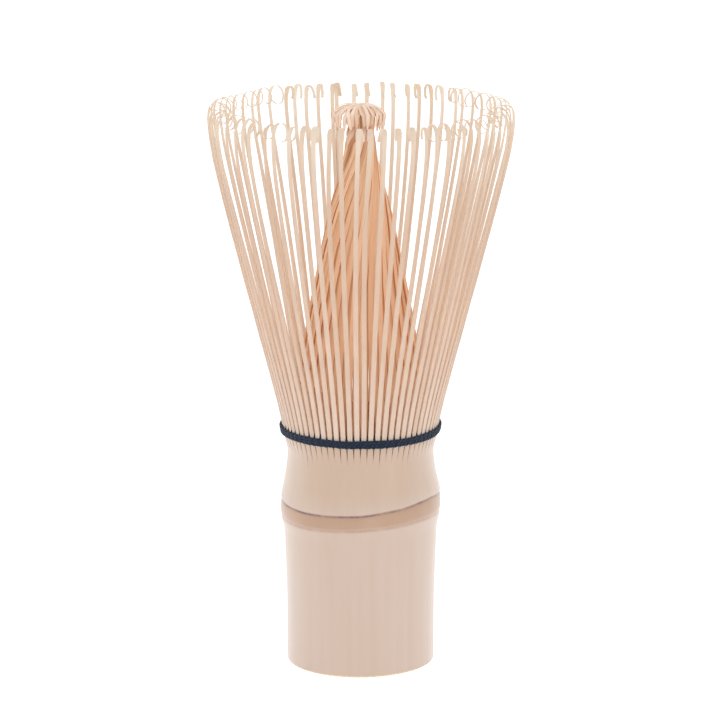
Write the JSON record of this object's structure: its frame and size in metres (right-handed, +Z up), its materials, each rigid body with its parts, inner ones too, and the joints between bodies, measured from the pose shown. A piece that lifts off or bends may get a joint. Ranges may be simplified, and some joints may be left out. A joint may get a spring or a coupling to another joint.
{
  "type": "bamboo tea whisk",
  "caption": "Bamboo tea whisk: a hollow culm grip with a node ridge, split above a thread binding into a flared ring of curled outer tines round a gathered inner bundle.",
  "frame": {"origin": "centre of the flat cut end of the grip, the end that the whisk stands on", "axes": "+Z up the axis of the culm towards the tine tips; +X and +Y across it, each through the middle of an outer tine; the view in the picture looks along +Y"},
  "size_m": [0.0602, 0.0602, 0.1125],
  "materials": {
    "culm": "smooth dried bamboo skin, soft satin",
    "outer_bamboo": "shaved bamboo, satin on the skin side and matt on the cut sides",
    "inner_bamboo": "shaved bamboo, matt, warmer in tone than the outer ring",
    "thread": "dark navy twisted cotton thread"
  },
  "bodies": {
    "handle_body": {"handle": "culm", "binding_thread": "thread"},
    "outer_section_01": {"outer_tines_01": "outer_bamboo"},
    "inner_section_01": {"inner_tines_01": "inner_bamboo"},
    "outer_section_02": {"outer_tines_02": "outer_bamboo"},
    "inner_section_02": {"inner_tines_02": "inner_bamboo"},
    "outer_section_03": {"outer_tines_03": "outer_bamboo"},
    "inner_section_03": {"inner_tines_03": "inner_bamboo"},
    "outer_section_04": {"outer_tines_04": "outer_bamboo"},
    "inner_section_04": {"inner_tines_04": "inner_bamboo"},
    "outer_section_05": {"outer_tines_05": "outer_bamboo"},
    "inner_section_05": {"inner_tines_05": "inner_bamboo"},
    "outer_section_06": {"outer_tines_06": "outer_bamboo"},
    "inner_section_06": {"inner_tines_06": "inner_bamboo"},
    "outer_section_07": {"outer_tines_07": "outer_bamboo"},
    "inner_section_07": {"inner_tines_07": "inner_bamboo"},
    "outer_section_08": {"outer_tines_08": "outer_bamboo"},
    "inner_section_08": {"inner_tines_08": "inner_bamboo"},
    "outer_section_09": {"outer_tines_09": "outer_bamboo"},
    "inner_section_09": {"inner_tines_09": "inner_bamboo"},
    "outer_section_10": {"outer_tines_10": "outer_bamboo"},
    "inner_section_10": {"inner_tines_10": "inner_bamboo"},
    "outer_section_11": {"outer_tines_11": "outer_bamboo"},
    "inner_section_11": {"inner_tines_11": "inner_bamboo"},
    "outer_section_12": {"outer_tines_12": "outer_bamboo"},
    "inner_section_12": {"inner_tines_12": "inner_bamboo"},
    "outer_section_13": {"outer_tines_13": "outer_bamboo"},
    "inner_section_13": {"inner_tines_13": "inner_bamboo"},
    "outer_section_14": {"outer_tines_14": "outer_bamboo"},
    "inner_section_14": {"inner_tines_14": "inner_bamboo"},
    "outer_section_15": {"outer_tines_15": "outer_bamboo"},
    "inner_section_15": {"inner_tines_15": "inner_bamboo"},
    "outer_section_16": {"outer_tines_16": "outer_bamboo"},
    "inner_section_16": {"inner_tines_16": "inner_bamboo"},
    "outer_section_17": {"outer_tines_17": "outer_bamboo"},
    "inner_section_17": {"inner_tines_17": "inner_bamboo"},
    "outer_section_18": {"outer_tines_18": "outer_bamboo"},
    "inner_section_18": {"inner_tines_18": "inner_bamboo"}
  },
  "joints": [
    {"name": "outer_flex_01", "type": "hinge", "parent": "handle_body", "child": "outer_section_01", "pos_m": [0.01515, 0.00199, 0.049], "axis": [-0.1305, 0.9914, 0], "range_deg": [-3, 6], "stiffness_Nm_per_rad": 0.03},
    {"name": "outer_flex_02", "type": "hinge", "parent": "handle_body", "child": "outer_section_02", "pos_m": [0.01355, 0.00706, 0.049], "axis": [-0.4617, 0.887, 0], "range_deg": [-3, 6], "stiffness_Nm_per_rad": 0.03},
    {"name": "outer_flex_03", "type": "hinge", "parent": "handle_body", "child": "outer_section_03", "pos_m": [0.01032, 0.01127, 0.049], "axis": [-0.7373, 0.6756, 0], "range_deg": [-3, 6], "stiffness_Nm_per_rad": 0.03},
    {"name": "outer_flex_04", "type": "hinge", "parent": "handle_body", "child": "outer_section_04", "pos_m": [0.00585, 0.01412, 0.049], "axis": [-0.9239, 0.3827, 0], "range_deg": [-3, 6], "stiffness_Nm_per_rad": 0.03},
    {"name": "outer_flex_05", "type": "hinge", "parent": "handle_body", "child": "outer_section_05", "pos_m": [0.00067, 0.01527, 0.049], "axis": [-0.999, 0.0436, 0], "range_deg": [-3, 6], "stiffness_Nm_per_rad": 0.03},
    {"name": "outer_flex_06", "type": "hinge", "parent": "handle_body", "child": "outer_section_06", "pos_m": [-0.0046, 0.01457, 0.049], "axis": [-0.9537, -0.3007, 0], "range_deg": [-3, 6], "stiffness_Nm_per_rad": 0.03},
    {"name": "outer_flex_07", "type": "hinge", "parent": "handle_body", "child": "outer_section_07", "pos_m": [-0.0093, 0.01212, 0.049], "axis": [-0.7934, -0.6088, 0], "range_deg": [-3, 6], "stiffness_Nm_per_rad": 0.03},
    {"name": "outer_flex_08", "type": "hinge", "parent": "handle_body", "child": "outer_section_08", "pos_m": [-0.01289, 0.00821, 0.049], "axis": [-0.5373, -0.8434, 0], "range_deg": [-3, 6], "stiffness_Nm_per_rad": 0.03},
    {"name": "outer_flex_09", "type": "hinge", "parent": "handle_body", "child": "outer_section_09", "pos_m": [-0.01492, 0.00331, 0.049], "axis": [-0.2164, -0.9763, 0], "range_deg": [-3, 6], "stiffness_Nm_per_rad": 0.03},
    {"name": "outer_flex_10", "type": "hinge", "parent": "handle_body", "child": "outer_section_10", "pos_m": [-0.01515, -0.00199, 0.049], "axis": [0.1305, -0.9914, 0], "range_deg": [-3, 6], "stiffness_Nm_per_rad": 0.03},
    {"name": "outer_flex_11", "type": "hinge", "parent": "handle_body", "child": "outer_section_11", "pos_m": [-0.01355, -0.00706, 0.049], "axis": [0.4617, -0.887, 0], "range_deg": [-3, 6], "stiffness_Nm_per_rad": 0.03},
    {"name": "outer_flex_12", "type": "hinge", "parent": "handle_body", "child": "outer_section_12", "pos_m": [-0.01032, -0.01127, 0.049], "axis": [0.7373, -0.6756, 0], "range_deg": [-3, 6], "stiffness_Nm_per_rad": 0.03},
    {"name": "outer_flex_13", "type": "hinge", "parent": "handle_body", "child": "outer_section_13", "pos_m": [-0.00585, -0.01412, 0.049], "axis": [0.9239, -0.3827, 0], "range_deg": [-3, 6], "stiffness_Nm_per_rad": 0.03},
    {"name": "outer_flex_14", "type": "hinge", "parent": "handle_body", "child": "outer_section_14", "pos_m": [-0.00067, -0.01527, 0.049], "axis": [0.999, -0.0436, 0], "range_deg": [-3, 6], "stiffness_Nm_per_rad": 0.03},
    {"name": "outer_flex_15", "type": "hinge", "parent": "handle_body", "child": "outer_section_15", "pos_m": [0.0046, -0.01457, 0.049], "axis": [0.9537, 0.3007, 0], "range_deg": [-3, 6], "stiffness_Nm_per_rad": 0.03},
    {"name": "outer_flex_16", "type": "hinge", "parent": "handle_body", "child": "outer_section_16", "pos_m": [0.0093, -0.01212, 0.049], "axis": [0.7934, 0.6088, 0], "range_deg": [-3, 6], "stiffness_Nm_per_rad": 0.03},
    {"name": "outer_flex_17", "type": "hinge", "parent": "handle_body", "child": "outer_section_17", "pos_m": [0.01289, -0.00821, 0.049], "axis": [0.5373, 0.8434, 0], "range_deg": [-3, 6], "stiffness_Nm_per_rad": 0.03},
    {"name": "outer_flex_18", "type": "hinge", "parent": "handle_body", "child": "outer_section_18", "pos_m": [0.01492, -0.00331, 0.049], "axis": [0.2164, 0.9763, 0], "range_deg": [-3, 6], "stiffness_Nm_per_rad": 0.03},
    {"name": "inner_bloom_01", "type": "hinge", "parent": "handle_body", "child": "inner_section_01", "pos_m": [0.01289, 0.0017, 0.049], "axis": [-0.1305, 0.9914, 0], "range_deg": [0, 7], "stiffness_Nm_per_rad": 0.003},
    {"name": "inner_bloom_02", "type": "hinge", "parent": "handle_body", "child": "inner_section_02", "pos_m": [0.01153, 0.006, 0.049], "axis": [-0.4617, 0.887, 0], "range_deg": [0, 7], "stiffness_Nm_per_rad": 0.003},
    {"name": "inner_bloom_03", "type": "hinge", "parent": "handle_body", "child": "inner_section_03", "pos_m": [0.00878, 0.00958, 0.049], "axis": [-0.7373, 0.6756, 0], "range_deg": [0, 7], "stiffness_Nm_per_rad": 0.003},
    {"name": "inner_bloom_04", "type": "hinge", "parent": "handle_body", "child": "inner_section_04", "pos_m": [0.00498, 0.01201, 0.049], "axis": [-0.9239, 0.3827, 0], "range_deg": [0, 7], "stiffness_Nm_per_rad": 0.003},
    {"name": "inner_bloom_05", "type": "hinge", "parent": "handle_body", "child": "inner_section_05", "pos_m": [0.00057, 0.01299, 0.049], "axis": [-0.999, 0.0436, 0], "range_deg": [0, 7], "stiffness_Nm_per_rad": 0.003},
    {"name": "inner_bloom_06", "type": "hinge", "parent": "handle_body", "child": "inner_section_06", "pos_m": [-0.00391, 0.0124, 0.049], "axis": [-0.9537, -0.3007, 0], "range_deg": [0, 7], "stiffness_Nm_per_rad": 0.003},
    {"name": "inner_bloom_07", "type": "hinge", "parent": "handle_body", "child": "inner_section_07", "pos_m": [-0.00791, 0.01031, 0.049], "axis": [-0.7934, -0.6088, 0], "range_deg": [0, 7], "stiffness_Nm_per_rad": 0.003},
    {"name": "inner_bloom_08", "type": "hinge", "parent": "handle_body", "child": "inner_section_08", "pos_m": [-0.01096, 0.00698, 0.049], "axis": [-0.5373, -0.8434, 0], "range_deg": [0, 7], "stiffness_Nm_per_rad": 0.003},
    {"name": "inner_bloom_09", "type": "hinge", "parent": "handle_body", "child": "inner_section_09", "pos_m": [-0.01269, 0.00281, 0.049], "axis": [-0.2164, -0.9763, 0], "range_deg": [0, 7], "stiffness_Nm_per_rad": 0.003},
    {"name": "inner_bloom_10", "type": "hinge", "parent": "handle_body", "child": "inner_section_10", "pos_m": [-0.01289, -0.0017, 0.049], "axis": [0.1305, -0.9914, 0], "range_deg": [0, 7], "stiffness_Nm_per_rad": 0.003},
    {"name": "inner_bloom_11", "type": "hinge", "parent": "handle_body", "child": "inner_section_11", "pos_m": [-0.01153, -0.006, 0.049], "axis": [0.4617, -0.887, 0], "range_deg": [0, 7], "stiffness_Nm_per_rad": 0.003},
    {"name": "inner_bloom_12", "type": "hinge", "parent": "handle_body", "child": "inner_section_12", "pos_m": [-0.00878, -0.00958, 0.049], "axis": [0.7373, -0.6756, 0], "range_deg": [0, 7], "stiffness_Nm_per_rad": 0.003},
    {"name": "inner_bloom_13", "type": "hinge", "parent": "handle_body", "child": "inner_section_13", "pos_m": [-0.00498, -0.01201, 0.049], "axis": [0.9239, -0.3827, 0], "range_deg": [0, 7], "stiffness_Nm_per_rad": 0.003},
    {"name": "inner_bloom_14", "type": "hinge", "parent": "handle_body", "child": "inner_section_14", "pos_m": [-0.00057, -0.01299, 0.049], "axis": [0.999, -0.0436, 0], "range_deg": [0, 7], "stiffness_Nm_per_rad": 0.003},
    {"name": "inner_bloom_15", "type": "hinge", "parent": "handle_body", "child": "inner_section_15", "pos_m": [0.00391, -0.0124, 0.049], "axis": [0.9537, 0.3007, 0], "range_deg": [0, 7], "stiffness_Nm_per_rad": 0.003},
    {"name": "inner_bloom_16", "type": "hinge", "parent": "handle_body", "child": "inner_section_16", "pos_m": [0.00791, -0.01031, 0.049], "axis": [0.7934, 0.6088, 0], "range_deg": [0, 7], "stiffness_Nm_per_rad": 0.003},
    {"name": "inner_bloom_17", "type": "hinge", "parent": "handle_body", "child": "inner_section_17", "pos_m": [0.01096, -0.00698, 0.049], "axis": [0.5373, 0.8434, 0], "range_deg": [0, 7], "stiffness_Nm_per_rad": 0.003},
    {"name": "inner_bloom_18", "type": "hinge", "parent": "handle_body", "child": "inner_section_18", "pos_m": [0.01269, -0.00281, 0.049], "axis": [0.2164, 0.9763, 0], "range_deg": [0, 7], "stiffness_Nm_per_rad": 0.003}
  ]
}
